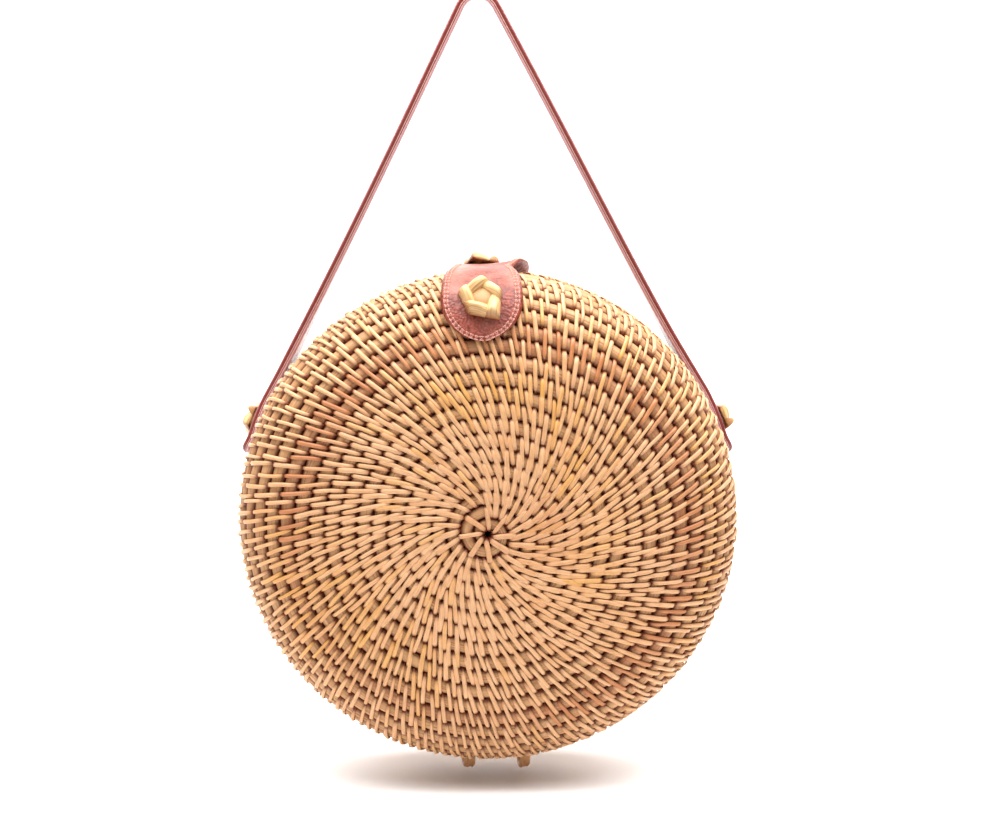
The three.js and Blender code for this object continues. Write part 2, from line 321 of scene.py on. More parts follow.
def select_only(*pieces):
    """Deselects everything, then selects these pieces, the first one active."""
    bpy.ops.object.select_all(action="DESELECT")
    for piece in pieces:
        piece.select_set(True)
    bpy.context.view_layer.objects.active = pieces[0]


def settled(piece):
    """Applies the object's place, turn and scale to its mesh."""
    select_only(piece)
    bpy.ops.object.transform_apply(location=True, rotation=True, scale=True)
    return piece


def joined(pieces, name):
    """Joins pieces into one object of that name."""
    select_only(*pieces)
    if len(pieces) > 1:
        bpy.ops.object.join()
    piece = bpy.context.view_layer.objects.active
    piece.name = name
    piece.data.name = name
    return piece


def smoothstep(value, low, high):
    """0 below low, 1 above high, and a smooth rise between them."""
    share = np.clip((value - low) / (high - low), 0, 1)
    return share * share * (3 - 2 * share)


def ring_weight(turn_degrees, start, end, soft):
    """1 between two clockwise angles, with soft ends, and 0 elsewhere."""
    middle = (start + end) / 2
    half = (end - start) / 2
    away = np.abs((turn_degrees - middle + 180) % 360 - 180)
    return 1 - smoothstep(away, half - soft, half + soft)


def spot(radius, degrees, middle, spread, start, end, soft):
    """A soft patch at a distance from the eye, in millimetres, between two clockwise angles."""
    return np.exp(-(((radius - middle) / spread) ** 2)) * ring_weight(degrees, start, end, soft)


def span(turns, start, end):
    """1 along one stretch of the coil, between two turns, and 0 elsewhere."""
    return smoothstep(turns, start - 0.03, start + 0.03) * (1 - smoothstep(turns, end - 0.03, end + 0.03))


def reel_offset(side):
    """The back half was wound from other reels, which start part of a turn later."""
    return 0 if side == FRONT else 0.37


def stained(coil, turns, side):
    """How red and how golden the cane is at each turn of the coil. One reel of redder cane
    was used for most of a round near the edge of the face."""
    radius = coil.valley(turns) / MM
    offset = reel_offset(side)
    degrees = ((turns + offset) * 360) % 360
    reel = span(turns + offset, 12.74, 13.46)
    eye = 0.45 * np.exp(-((radius / 11) ** 2))
    patch = 0.5 * spot(radius, degrees, 24, 7, 55, 110, 20) + 0.6 * spot(radius, degrees, 73, 6, 288, 318, 8)
    lower = 0.3 * spot(radius, degrees, 78, 5, 150, 290, 25)
    red = np.clip(0.9 * reel + eye + patch + lower, 0, 1)
    top = spot(radius, degrees, 57, 7, -28, 30, 14)
    left = spot(radius, degrees, 82, 9, 226, 274, 10) + 0.6 * spot(radius, degrees, 60, 9, 200, 262, 20)
    ring = 0.75 * span(turns + offset, 14.95, 15.34)
    right = 0.4 * spot(radius, degrees, 42, 12, 40, 130, 20)
    return red, np.clip(top + left + ring + right, 0, 1)


# The coil


def coil_piece(name, sizes, coil, side):
    """The wound core of one shell: a single tube that follows the spiral from eye to rim."""
    pillow = coil.pillow
    cane_radius = 2.6 * MM
    thinnest = 0.2 * MM
    stations = int((coil.turns + 1) * sizes.coil_steps)
    turns = np.linspace(-0.96, coil.turns - 0.02, stations)
    inner = coil.valley(turns)
    outer = coil.valley(turns + 1)
    middle = (inner + outer) / 2
    half = np.maximum((outer - inner) / 2, thinnest)
    fullness = np.clip(half / (sizes.first_pitch / 2), 0.1, 1)
    section = 14
    round_turn = np.linspace(0, 2 * math.pi, section, endpoint=False)
    across, above = np.cos(round_turn), np.sin(round_turn)
    along = middle[:, None] + half[:, None] * 0.99 * across[None, :]
    swell = 1 + 0.035 * np.sin(turns * 61) + 0.03 * np.sin(turns * 147 + 1)
    lift = -sizes.coil_sink - (sizes.coil_height / 2) * (1 - (fullness * swell)[:, None] * above[None, :])
    turn = 2 * math.pi * turns[:, None] + 0 * along
    rings = pillow.point(along, turn, lift, side)[None]
    # Painted shade: depth rises from the coil's crest to its underside, between the rounds
    depth = np.clip((1 - above) / 1.1, 0, 1)
    red, gold = stained(coil, turns + 0.5, side)
    ring = 0.7 * span(turns + reel_offset(side), 11.8, 13.42)
    values = np.zeros((stations, section, 4))
    values[..., 0] = 0.5
    values[..., 1] = 0.6 * gold[:, None]
    values[..., 2] = np.clip(np.maximum(0.7 * red, ring), 0, 1)[:, None]
    values[..., 3] = depth[None, :]
    flat = pillow.radius(middle)[:, None] * np.stack([np.cos(turn[:, 0]), np.sin(turn[:, 0])], -1)
    travelled = np.concatenate([[0], np.cumsum(np.linalg.norm(np.diff(flat, axis=0), axis=1))])
    girth = 2 * math.pi * cane_radius * np.minimum(np.arange(section), section - np.arange(section)) / section
    uvs = np.stack([girth[None, :] + 0 * along, travelled[:, None] + 0 * along], -1)
    return turned_outwards(strand_mesh(name, rings, values=values, uvs=uvs))


# The stitches


def stitch_lean(pillow, along):
    """How steeply a stitch leans from the straight line to the eye, as a slope."""
    radius = pillow.radius(along) / MM
    places = [4, 9, 14, 20, 27, 35, 43, 53, 62, 71, 80, 100]
    degrees = [5, 12, 17, 21.5, 23.5, 23.5, 21.5, 20, 20, 18.5, 16.5, 13]
    return np.tan(np.radians(np.interp(radius, places, degrees)))


def stitch_shift(coil, turns):
    """How far each end of a stitch lies from its middle, in turns."""
    along = coil.valley(turns)
    pitch = coil.valley(turns + 0.5) - coil.valley(turns - 0.5)
    radius = np.maximum(coil.pillow.radius(along), 4 * MM)
    return stitch_lean(coil.pillow, along) * pitch / (2 * math.pi * radius)


def stitch_room(sizes, coil, turn):
    """The usual distance between neighbouring stitches of a round."""
    radius = float(coil.pillow.radius(coil.valley(turn))) / MM
    places = [8, 13, 20, 30, 45, 62, 78, 92, 100]
    shares = [0.3, 0, 0.09, 0.19, 0.29, 0.42, 0.64, 0.86, 1]
    share = float(np.interp(radius, places, shares))
    return sizes.spacing_inner + (sizes.spacing_outer - sizes.spacing_inner) * share


def stitch_places(sizes, coil, chance):
    """Turns at which the stitches cross the valley under them, each placed between two
    stitches of the round before, with one more wherever the cane has room for it."""
    rounds = [1 + np.arange(sizes.first_stitches) / sizes.first_stitches]
    while rounds[-1][-1] < coil.turns - 1.02:
        before = rounds[-1]
        ends = before - stitch_shift(coil, before)
        ends = np.append(ends, ends[0] + 1)
        fresh = []
        owed = 0.0
        for low, high in zip(ends[:-1] + 1, ends[1:] + 1):
            radius = float(coil.pillow.radius(coil.valley(low)))
            owed += (high - low) * 2 * math.pi * radius / stitch_room(sizes, coil, low) - 1
            extra = min(2, max(0, int(owed + 0.5)))
            owed -= extra
            for step in range(extra + 1):
                fresh.append(low + (high - low) * (step + 0.5) / (extra + 1))
        fresh = np.array(fresh)
        for _ in range(3):
            middle = (fresh[:-2] + fresh[2:]) / 2
            fresh[1:-1] += 0.45 * (middle - fresh[1:-1])
        rounds.append(fresh)
    places = np.concatenate(rounds)
    places = places[places < coil.turns - 1.0]
    spacing = np.gradient(places)
    places = places + spacing * chance.normal(0, 0.06, len(places))
    return places, stitch_shift(coil, places)


def stitch_piece(name, sizes, coil, side, places, shifts, chance, inside=False):
    """The visible halves of the stitches on one face of a shell, each a curved strip of cane
    over two rounds that comes up between its neighbours and dives behind the next round."""
    pillow = coil.pillow
    number = len(places)
    # Along a stitch from its inner end: its share of the length, its lift, its share of the width
    share = np.array([0, 0.05, 0.12, 0.25, 0.38, 0.5, 0.62, 0.75, 0.9, 0.965, 1.0])
    lift = np.array([-2.6, -1.3, -0.35, 0.1, -0.06, -0.16, -0.03, 0.14, -0.12, -0.8, -2.6]) * MM
    width = np.array([0.78, 0.84, 0.9, 0.95, 0.98, 1.0, 1.0, 1.02, 1.04, 1.04, 0.98])
    dive = 1.5 * MM
    over_crest = 0.12 * MM
    if inside:
        keep = [0, 2, 3, 5, 7, 8, 10]
        share, lift, width = share[keep], lift[keep], width[keep]
    stations = len(share)
    inner = coil.valley(places - 1)
    outer = coil.valley(places + 1)
    # The first stitches all come out of the eye and end at one round
    first = places < 2 - 0.6 / sizes.first_stitches
    inner = np.where(first, 1.1 * sizes.eye_radius, inner)
    outer = np.where(first, coil.valley(1.85), outer)
    middle = np.where(first, (inner + outer) / 2, coil.valley(places))
    along = np.where(
        share[None] < 0.5,
        inner[:, None] + (middle - inner)[:, None] * 2 * share[None],
        middle[:, None] + (outer - middle)[:, None] * (2 * share[None] - 1),
    )
    side_step = (share[None] - 0.5) * 2 * shifts[:, None]
    bow = 0.1 * shifts[:, None] * np.sin(math.pi * share[None]) * chance.normal(0, 1, (number, 1))
    slant = 1 + chance.normal(0, 0.16, (number, 1))
    # Near the eye the strips stay straight, so each is laid out flat and then turned round it
    radius = pillow.radius(middle)
    reach = pillow.radius(along)
    sideways = 2 * math.pi * radius[:, None] * (bow - side_step * slant)
    turn = 2 * math.pi * places[:, None] + np.arctan2(sideways, np.maximum(reach, 1.5 * MM))
    broad = sizes.stitch_wide + (sizes.stitch_slim - sizes.stitch_wide) * smoothstep(radius, 20 * MM, 80 * MM)
    broad = broad * (1 + chance.normal(0, 0.1, number))
    high = sizes.stitch_height * (1 + chance.normal(0, 0.08, number))
    raised = lift[None] + (chance.normal(0, 0.09, (number, 1)) * MM) * np.sin(math.pi * share[None])
    if inside:
        level = -sizes.coil_sink - sizes.coil_height - over_crest - raised
        step_up = -MM
    else:
        level = -sizes.coil_sink + over_crest + raised
        step_up = MM
    centre = pillow.point(along, turn, level, side)
    outward = pillow.point(along, turn, level + step_up, side) - centre
    outward /= np.linalg.norm(outward, axis=-1, keepdims=True)
    tangent = np.gradient(centre, axis=1)
    tangent /= np.linalg.norm(tangent, axis=-1, keepdims=True)
    across = np.cross(tangent, outward)
    across /= np.linalg.norm(across, axis=-1, keepdims=True)
    outward = np.cross(across, tangent)
    tilt = np.radians(chance.normal(0, 7, (number, 1, 1)))
    across, outward = (
        across * np.cos(tilt) + outward * np.sin(tilt),
        outward * np.cos(tilt) - across * np.sin(tilt),
    )
    section = np.array([[-0.5, 0.1], [-0.43, 0.72], [0, 1.0], [0.43, 0.72], [0.5, 0.1], [0, -0.12]])
    if inside:
        section = np.array([[-0.5, 0.0], [-0.2, 0.9], [0.2, 0.9], [0.5, 0.0]])
    wide = (broad[:, None] * width[None])[..., None, None] * section[None, None, :, :1]
    tall = (high[:, None] * np.ones_like(width)[None])[..., None, None] * section[None, None, :, 1:]
    rings = centre[:, :, None] + across[:, :, None] * wide + outward[:, :, None] * tall
    red, gold = stained(coil, places, side)
    red = np.clip(red * (0.7 + 0.5 * chance.random(number)), 0, 1)
    gold = np.clip(gold * (0.15 + 1.1 * chance.random(number)) + 0.4 * (chance.random(number) > 0.92), 0, 1)
    golden_end = 1.15 - 0.75 * share[None, :] * smoothstep(radius, 75 * MM, 88 * MM)[:, None]
    values = np.zeros((number, stations, len(section), 4))
    values[..., 0] = chance.random(number)[:, None, None]
    values[..., 1] = np.clip(gold[:, None] * golden_end, 0, 1)[:, :, None]
    values[..., 2] = red[:, None, None]
    # Painted shade darkens the strips' side edges, and where they dive behind the next round
    outline = np.where(np.abs(section[:, 0]) > 0.49, 0.3, 0)
    values[..., 3] = np.clip(-lift[None, :, None] / dive + outline[None, None], 0, 1)
    strip_length = 2.4 * sizes.outer_pitch
    shift_u = chance.random(number)[:, None, None] * 0.5
    shift_v = chance.random(number)[:, None, None] * 2.0
    u = shift_u + section[None, None, :, 0] * broad[:, None, None] + 0 * share[None, :, None]
    v = shift_v + share[None, :, None] * strip_length + 0 * u
    return turned_outwards(strand_mesh(name, rings, values=values, uvs=np.stack([u, v], -1)))


# Knots


# Corners of a knot, clockwise from its left corner as seen from outside, as shares of its radius
knot_corners = [(-1.1, 0.24), (-0.02, 1.04), (0.95, 0.3), (0.78, -1.08), (-0.56, -0.8)]


def knot_frame(place, direction, right):
    """The matrix that lays a knot's own x, y and z along right, up and a direction."""
    x_way = (right - direction * right.dot(direction)).normalized()
    y_way = direction.cross(x_way)
    turn = Matrix((x_way, y_way, direction)).transposed().to_4x4()
    return Matrix.Translation(place) @ turn


def knot_piece(name, frame_matrix, radius, height, spin, chance):
    """A knot of flat cane, folded into a five-sided button: each strip lies along one side,
    goes over the next one and folds down round its edge, and a tucked end fills the middle."""
    # Places along a strip, and across it from the knot's outer edge
    share = np.array([0, 0.03, 0.07, 0.13, 0.22, 0.34, 0.46, 0.58, 0.7, 0.79, 0.86, 0.92, 0.96, 0.99, 1.0])
    inward = np.array([0, 0.03, 0.08, 0.16, 0.3, 0.5, 0.7, 0.88, 1.0])
    thick = 0.75 * MM
    turned = [
        (
            radius * (x * math.cos(spin) - y * math.sin(spin)) * (1 + chance.normal(0, 0.03)),
            radius * (x * math.sin(spin) + y * math.cos(spin)) * (1 + chance.normal(0, 0.03)),
        )
        for x, y in knot_corners
    ]
    corner = np.array(turned)
    number = len(corner)
    rings = []
    for index in range(number):
        start, end = corner[index], corner[(index + 1) % number]
        before, after = corner[index - 1], corner[(index + 2) % number]
        depth = 0.47 + chance.normal(0, 0.03)
        inner_start = start + (before - start) * depth
        inner_end = end + (after - end) * depth
        outer_line = start[None] + (end - start)[None] * share[:, None]
        inner_line = inner_start[None] + (inner_end - inner_start)[None] * share[:, None]
        flat = outer_line[:, None] + (inner_line - outer_line)[:, None] * inward[None, :, None]
        rise = 0.28 + 0.5 * smoothstep(share, 0.1, 0.7) + 0.04 * np.sin(share * 5 + index)
        fold_end = np.sqrt(np.clip(1 - np.clip((share - 0.84) / 0.16, 0, 1) ** 2, 0, 1))
        fold_start = 0.55 + 0.45 * smoothstep(share, 0.0, 0.14)
        fold_side = np.sqrt(np.clip(1 - np.clip((0.2 - inward) / 0.2, 0, 1) ** 2, 0, 1))
        crown = 0.66 + 0.58 * np.sin(math.pi * np.clip(inward, 0, 1)) - 0.22 * smoothstep(inward, 0.75, 1)
        level = height * (0.06 + np.outer(rise * fold_end * fold_start, fold_side * crown))
        top = np.concatenate([flat, level[..., None]], -1)
        middle = corner.mean(0)
        pulled = flat + (middle - flat) * 0.09
        under = np.concatenate([pulled, np.maximum(level - thick, 0.02 * height)[..., None]], -1)
        rings.append(np.concatenate([top, under[:, ::-1]], 1))
    rings = np.array(rings)
    values = np.zeros(rings.shape[:3] + (4,))
    values[..., 0] = chance.random(number)[:, None, None]
    both = np.concatenate([inward, inward[::-1]])
    # Painted shade: the strips darken at their folded ends, where they start under the strip before, and
    # along both edges, most on the inner one
    along_shade = 0.8 * smoothstep(share, 0.86, 1.0) + 0.75 * (1 - smoothstep(share, 0.0, 0.34))
    edge_shade = 0.6 * smoothstep(both, 0.8, 1.0) + 0.35 * (1 - smoothstep(both, 0.0, 0.1))
    values[..., 3] = np.clip(along_shade[None, :, None] + edge_shade[None, None, :], 0, 1)
    span_across = both * radius * 0.8
    uvs = np.zeros(rings.shape[:3] + (2,))
    uvs[..., 0] = span_across[None, None, :] + (np.arange(number) * 0.013)[:, None, None]
    uvs[..., 1] = share[None, :, None] * radius * 1.3 + (np.arange(number) * 0.031)[:, None, None]
    knot = turned_outwards(strand_mesh(name, rings, values=values, uvs=uvs))
    knot = joined([knot, knot_heart(radius, height)], name)
    knot.data.transform(frame_matrix)
    return knot


def knot_heart(radius, height):
    """The tucked cane end that shows in the middle of a knot, and closes its underside."""
    bpy.ops.mesh.primitive_uv_sphere_add(segments=20, ring_count=10, radius=1, location=(0, 0, 0))
    heart = bpy.context.view_layer.objects.active
    heart.scale = (radius * 0.62, radius * 0.62, height * 0.62)
    heart.location = (0.06 * radius, -0.08 * radius, 0)
    settled(heart)
    bpy.ops.object.mode_set(mode="EDIT")
    bpy.ops.mesh.select_all(action="SELECT")
    bpy.ops.mesh.bisect(plane_co=(0, 0, 0.02 * MM), plane_no=(0, 0, 1), clear_inner=True, use_fill=True)
    bpy.ops.object.mode_set(mode="OBJECT")
    for polygon in heart.data.polygons:
        polygon.use_smooth = True
    layer = heart.data.uv_layers.active
    if layer:
        layer.name = "fibre"
    hand = heart.data.attributes.new("hand", "FLOAT_COLOR", "POINT")
    # The depth value darkens the whole heart part way to the knots' painted shade colour
    hand.data.foreach_set("color", [0.9, 0.3, 0.35, 0.45] * len(heart.data.vertices))
    return heart


# Leather


def strip_rings(centres, outwards, across, widths, section):
    """Rings of a strip: section rows are (share of the width, lift in metres)."""
    wide = widths[:, None, None] * section[None, :, :1] * across[:, None]
    tall = outwards[:, None] * section[None, :, 1:]
    return centres[:, None] + wide + tall


def rounded_section(thickness, corner, across_steps):
    """A flat section with rounded edges, as rows of width share and lift, wound one way."""
    top = np.linspace(-0.5, 0.5, across_steps)
    ease = 1 - np.clip((0.5 - np.abs(top)) / corner, 0, 1)
    lift = (thickness / 2) * np.sqrt(np.clip(1 - ease ** 2, 0, 1))
    upper = np.stack([top, lift], -1)
    lower = np.stack([top[::-1], -lift[::-1]], -1)[1:-1]
    return np.concatenate([upper, lower])


def tab_line(leather, pillow, steps):
    """The tab's middle line, its outward directions, and its widths from front to rear."""
    front = leather.tab_front + leather.tab_tail
    rear = leather.tab_rear + leather.tab_tail
    from_seam = np.linspace(-front, rear, steps)
    lift = leather.seat_gap + leather.tab_thickness / 2
    rows = []
    for place in from_seam:
        seat, direction = pillow.seat(FRONT if place < 0 else BACK, abs(place), lift)
        rows.append((seat, direction))
    centres = np.array([row[0] for row in rows])
    outwards = np.array([row[1] for row in rows])
    skew = leather.tab_skew * smoothstep(from_seam, -2 * MM, 18 * MM)
    centres[:, 0] += skew - leather.tab_shift
    reach = np.minimum(from_seam + front, rear - from_seam)
    waist = 1 - np.clip(1 - np.abs(from_seam) / (31 * MM), 0, 1) ** 1.6
    width = leather.tab_waist + (leather.tab_lobe - leather.tab_waist) * waist
    inside = np.clip(reach / (leather.tab_lobe / 2), 0, 1)
    width = width * np.sqrt(np.clip(1 - (1 - inside) ** 2, 0.002, 1))
    return from_seam, centres, outwards, width


def tab_wave(from_seam, sideways):
    """How far the tab's leather stands off its seat: behind the seam its right side arches
    up over the wall, and the front end's rim curls a little. sideways is a share, -0.5 to 0.5."""
    arch = smoothstep(from_seam, 1 * MM, 11 * MM) * (1 - smoothstep(from_seam, 20 * MM, 36 * MM))
    right = np.clip(sideways + 0.12, 0, 1)
    wave = 5.2 * MM * arch * right ** 1.5
    wave = wave + 0.3 * MM * np.sin(from_seam / (6 * MM)) * np.abs(sideways)
    return wave + 0.5 * MM * np.abs(sideways) ** 2 * smoothstep(-from_seam, 20 * MM, 44 * MM)


def tab_piece(leather, pillow):
    """The closure tab: a soft hourglass of grained leather that lies over the seam."""
    steps = 90
    from_seam, centres, outwards, width = tab_line(leather, pillow, steps)
    across = np.tile([1.0, 0, 0], (steps, 1))
    section = rounded_section(leather.tab_thickness, 0.05, 25)
    rings = strip_rings(centres, outwards, across, width, section)
    wave = tab_wave(from_seam[:, None], section[None, :, 0])
    rings = (rings + outwards[:, None] * wave[..., None])[None]
    along = np.concatenate([[0], np.cumsum(np.linalg.norm(np.diff(centres, axis=0), axis=1))])
    uvs = np.zeros(rings.shape[:3] + (2,))
    uvs[..., 0] = section[None, None, :, 0] * width[None, :, None]
    uvs[..., 1] = along[None, :, None]
    return turned_outwards(strand_mesh("closure_tab_leather", rings, uvs=uvs))


def thread_piece(leather, pillow, chance):
    """Two crossing rows of thread round the tab, inside its edge."""
    steps = 240
    from_seam, centres, outwards, width = tab_line(leather, pillow, steps)
    half = width / 2 - leather.thread_inset
    rows = np.nonzero(half > 0.6 * MM)[0]
    line = []
    outs = []
    for sign in (1, -1):
        for row in rows[::sign]:
            sideways = sign * half[row]
            lift = leather.tab_thickness / 2 + 0.1 * MM + tab_wave(from_seam[row], sideways / width[row])
            line.append(centres[row] + outwards[row] * lift + np.array([sideways, 0, 0]))
            outs.append(outwards[row])
    line = np.array(line + line[:1])
    outs = np.array(outs + outs[:1])
    travelled = np.concatenate([[0], np.cumsum(np.linalg.norm(np.diff(line, axis=0), axis=1))])
    number = int(travelled[-1] / leather.thread_step)
    share = np.linspace(0, 1, 5)
    # Two running rows, then the two crossing threads between them: the side where each starts
    # and ends, and how far it lies above the others in millimetres
    lanes = [(1, 1, 0.05), (-1, -1, 0.05), (1, -1, -0.05), (-1, 1, 0.0)]
    lane = 0.68 * MM
    thick = 0.24 * MM
    fine = 0.15 * MM
    rings = []
    for index in range(number):
        for start, end, over in lanes:
            reach = (index + 0.06 + 0.88 * share) * leather.thread_step
            place = np.stack([np.interp(reach, travelled, line[:, axis]) for axis in range(3)], -1)
            out = np.stack([np.interp(reach, travelled, outs[:, axis]) for axis in range(3)], -1)
            tangent = np.gradient(place, axis=0)
            tangent /= np.linalg.norm(tangent, axis=1, keepdims=True)
            side_way = np.cross(tangent, out)
            sway = (start + (end - start) * share) * lane * (1 + chance.normal(0, 0.08))
            arch = (np.sin(math.pi * share) * 0.3 - 0.24 + over) * MM
            place = place + side_way * sway[:, None] + out * arch[:, None]
            thin = thick if start == end else fine
            ring = []
            for corner in range(5):
                angle = corner * 2 * math.pi / 5
                ring.append(place + side_way * thin * math.cos(angle) + out * thin * math.sin(angle))
            rings.append(np.stack(ring, 1))
    return turned_outwards(strand_mesh("closure_tab_thread", np.array(rings)))


def strap_line(leather, pillow):
    """The strap's middle line in X and Z, from its left tail over the bend to its right tail,
    how far each point is on the wall (1) or at the bend (0), the wall's lean where the strap
    lies on it, and its distance there from the bag's axis."""
    fall = (2 * leather.strap_back / bag_depth) ** pillow.power
    wall_share = (1 - fall) ** (1 / pillow.power)
    normal_out = wall_share ** (pillow.power - 1) / bag_width
    normal_back = (2 * leather.strap_back / bag_depth) ** (pillow.power - 1) / bag_depth
    lean = math.atan2(normal_back, normal_out)
    seam = []
    for step in (-1, 0, 1):
        rise = leather.strap_knot_rise + step * 2 * leather.strap_tail / bag_width
        seam.append(1 / math.hypot(2 * math.cos(rise) / bag_width, 2 * math.sin(rise) / bag_height))
    wall = max(seam) * wall_share
    reach = wall + (leather.seat_gap + leather.strap_thickness / 2) * math.cos(lean)
    bend = leather.strap_bend + leather.strap_thickness / 2
    centre = Vector((-bag_middle.x, -bag_middle.z - leather.strap_bend))
    tail = 2 * leather.strap_tail / bag_width
    lines = []
    for side in (-1, 1):
        aside = math.atan2(side * centre.x, centre.y)
        run = math.pi / 2 - aside - math.acos((reach - bend) / centre.length)
        low = leather.strap_knot_rise - tail
        rows = [(side * reach * math.cos(a), reach * math.sin(a), 1) for a in np.linspace(low, run, 24)]
        top = (centre.x + side * bend * math.cos(run), centre.y + bend * math.sin(run))
        rows += [
            (rows[23][0] + (top[0] - rows[23][0]) * s, rows[23][1] + (top[1] - rows[23][1]) * s, 1 - s)
            for s in np.linspace(0, 1, 50)[1:]
        ]
        rows += [
            (centre.x + side * bend * math.cos(a), centre.y + bend * math.sin(a), 0)
            for a in np.linspace(run, math.pi / 2, 16)[1:]
        ]
        lines.append(rows)
    points = np.array(lines[0] + lines[1][::-1][1:])
    return points[:, :2], points[:, 2], lean, wall


def strap_piece(leather, pillow):
    """The shoulder strap: two thicknesses of leather, glued and rounded along their edges. The
    hand value's first part is the side of the edge: 0 outer layer, 0.5 seam, 1 inner layer."""
    flat, on_wall, lean, _ = strap_line(leather, pillow)
    back = (leather.strap_back + (leather.seat_gap + leather.strap_thickness / 2) * math.sin(lean)) * on_wall
    centres = np.stack([flat[:, 0] + bag_middle.x, back, flat[:, 1] + bag_middle.z], -1)
    tangent = np.gradient(flat, axis=0)
    tangent /= np.linalg.norm(tangent, axis=1, keepdims=True)
    # The section leans back with the wall where it lies on it, and turns edge-on just above
    lean_here = (lean * on_wall ** 6)[:, None]
    away = np.stack([-tangent[:, 1], np.zeros(len(flat)), tangent[:, 0]], -1)
    rearward = np.array([[0.0, 1.0, 0.0]])
    outwards = away * np.cos(lean_here) + rearward * np.sin(lean_here)
    across = rearward * np.cos(lean_here) - away * np.sin(lean_here)
    along = np.concatenate([[0], np.cumsum(np.linalg.norm(np.diff(centres, axis=0), axis=1))])
    half = leather.strap_thickness / 2
    quarter = [
        (0.478, 0.0),
        (0.493, 0.1),
        (0.5, 0.32),
        (0.498, 0.6),
        (0.485, 0.84),
        (0.455, 0.97),
        (0.4, 1.0),
        (0.2, 1.0),
    ]
    upper = quarter + [(0.0, 1.0)] + [(-x, z) for x, z in quarter[::-1]]
    lower = [(-x, -z) for x, z in quarter[1:]] + [(0.0, -1.0)] + [(x, -z) for x, z in quarter[:0:-1]]
    section = np.array([(x, z * half) for x, z in upper + lower])
    ends = np.minimum(along, along[-1] - along)
    inside = np.clip(ends / (leather.strap_width / 2), 0, 1)
    width = leather.strap_width * np.sqrt(np.clip(1 - (1 - inside) ** 2, 0.03, 1))
    sway = 0.3 * MM * np.sin(along / (37 * MM) + 1.1) * smoothstep(ends, 30 * MM, 60 * MM)
    # The tails, which nothing holds, stand a little off the wall
    curl = 1.4 * MM * (1 - smoothstep(ends, 2 * MM, 11 * MM)) ** 2
    centres = centres + outwards * (sway + curl)[:, None]
    rings = strip_rings(centres, outwards, across, width, section)[None]
    uvs = np.zeros(rings.shape[:3] + (2,))
    uvs[..., 0] = section[None, None, :, 0]
    uvs[..., 1] = along[None, :, None]
    values = np.zeros(rings.shape[:3] + (4,))
    values[..., 0] = (0.5 - 0.5 * section[:, 1] / half)[None, None, :]
    values[..., 1] = smoothstep(np.abs(section[:, 0]), 0.42, 0.47)[None, None, :]
    return turned_outwards(strand_mesh("shoulder_strap_leather", rings, values=values, uvs=uvs))


def loop_piece(name, box, strands, chance):
    """A hinge loop: a few turns of split cane side by side round the hinge line."""
    low, high = box
    middle = (low + high) / 2
    outer = (high.z - low.z) / 2
    thick = 1.0 * MM
    step = (high.x - low.x - 2 * thick) / max(1, strands - 1)
    rounds = []
    for index in range(strands):
        bpy.ops.mesh.primitive_torus_add(
            major_segments=48,
            minor_segments=10,
            major_radius=outer - thick + chance.normal(0, 0.12) * MM,
            minor_radius=thick,
            location=(low.x + thick + index * step, middle.y, middle.z),
            rotation=(0, math.pi / 2 + chance.normal(0, 0.035), 0.16 + chance.normal(0, 0.05)),
        )
        rounds.append(settled(bpy.context.view_layer.objects.active))
    loop = joined(rounds, name)
    for polygon in loop.data.polygons:
        polygon.use_smooth = True
    loop.data.uv_layers[0].name = "fibre"
    layer = loop.data.uv_layers[0]
    corner = np.zeros(len(loop.data.loops) * 2, np.float32)
    layer.data.foreach_get("uv", corner)
    corner = corner.reshape(-1, 2)[:, ::-1] * np.array([2 * math.pi * thick, 2 * math.pi * outer])
    layer.data.foreach_set("uv", corner.astype(np.float32).reshape(-1))
    hand = loop.data.attributes.new("hand", "FLOAT_COLOR", "POINT")
    hand.data.foreach_set("color", [0.4, 0.2, 0.35, 0.0] * len(loop.data.vertices))
    return loop


# Materials


# Tones beside the main colours
WARM_CANE = srgb("D39A62")
CANE_STREAK = srgb("B97B4C")
CANE_BLOTCH = srgb("C98C58")
# Painted shade where the stitches dive between the rounds and along their side edges
CANE_SHADE = srgb("6C2809")
CORE_LIGHT = srgb("D8AE80")
CORE_LINE = srgb("8A5230")
KNOT_TAN = srgb("CFA068")
KNOT_RIB = srgb("98602E")
# Painted shade where the knots' strips fold down and tuck under
KNOT_SHADE = srgb("8A4E24")
# The strap edge's mauve rim, partly a painted reflection on the outer layer's rounded corner
STRAP_RIM_REFLECTION = srgb("BC8486")
# A painted highlight line just before the strap's seam
STRAP_HIGHLIGHT = srgb("E6AEA4")
STRAP_SEAM = srgb("64302E")
# The strap's paler inner layer, partly a painted reflection of the white surroundings
STRAP_INNER_REFLECTION = srgb("BC8A8C")
STRAP_RUBBED = srgb("DDA79E")
TAB_RUBBED = srgb("B87868")
THREAD_SHADE = srgb("A8604F")
PAPER_SHADE = srgb("E8E6E4")


def new_material(name):
    """An empty node material with its output and principled shader."""
    material = bpy.data.materials.new(name)
    material.use_nodes = True
    tree = material.node_tree
    tree.nodes.clear()
    output = tree.nodes.new("ShaderNodeOutputMaterial")
    shader = tree.nodes.new("ShaderNodeBsdfPrincipled")
    tree.links.new(shader.outputs["BSDF"], output.inputs["Surface"])
    return material, tree, shader


def add(tree, kind, inputs=None, **settings):
    """Adds one node, sets its options, and sets or links its inputs."""
    node = tree.nodes.new(kind)
    for key, value in settings.items():
        setattr(node, key, value)
    for key, value in (inputs or {}).items():
        if isinstance(value, bpy.types.NodeSocket):
            tree.links.new(value, node.inputs[key])
        else:
            node.inputs[key].default_value = value
    return node


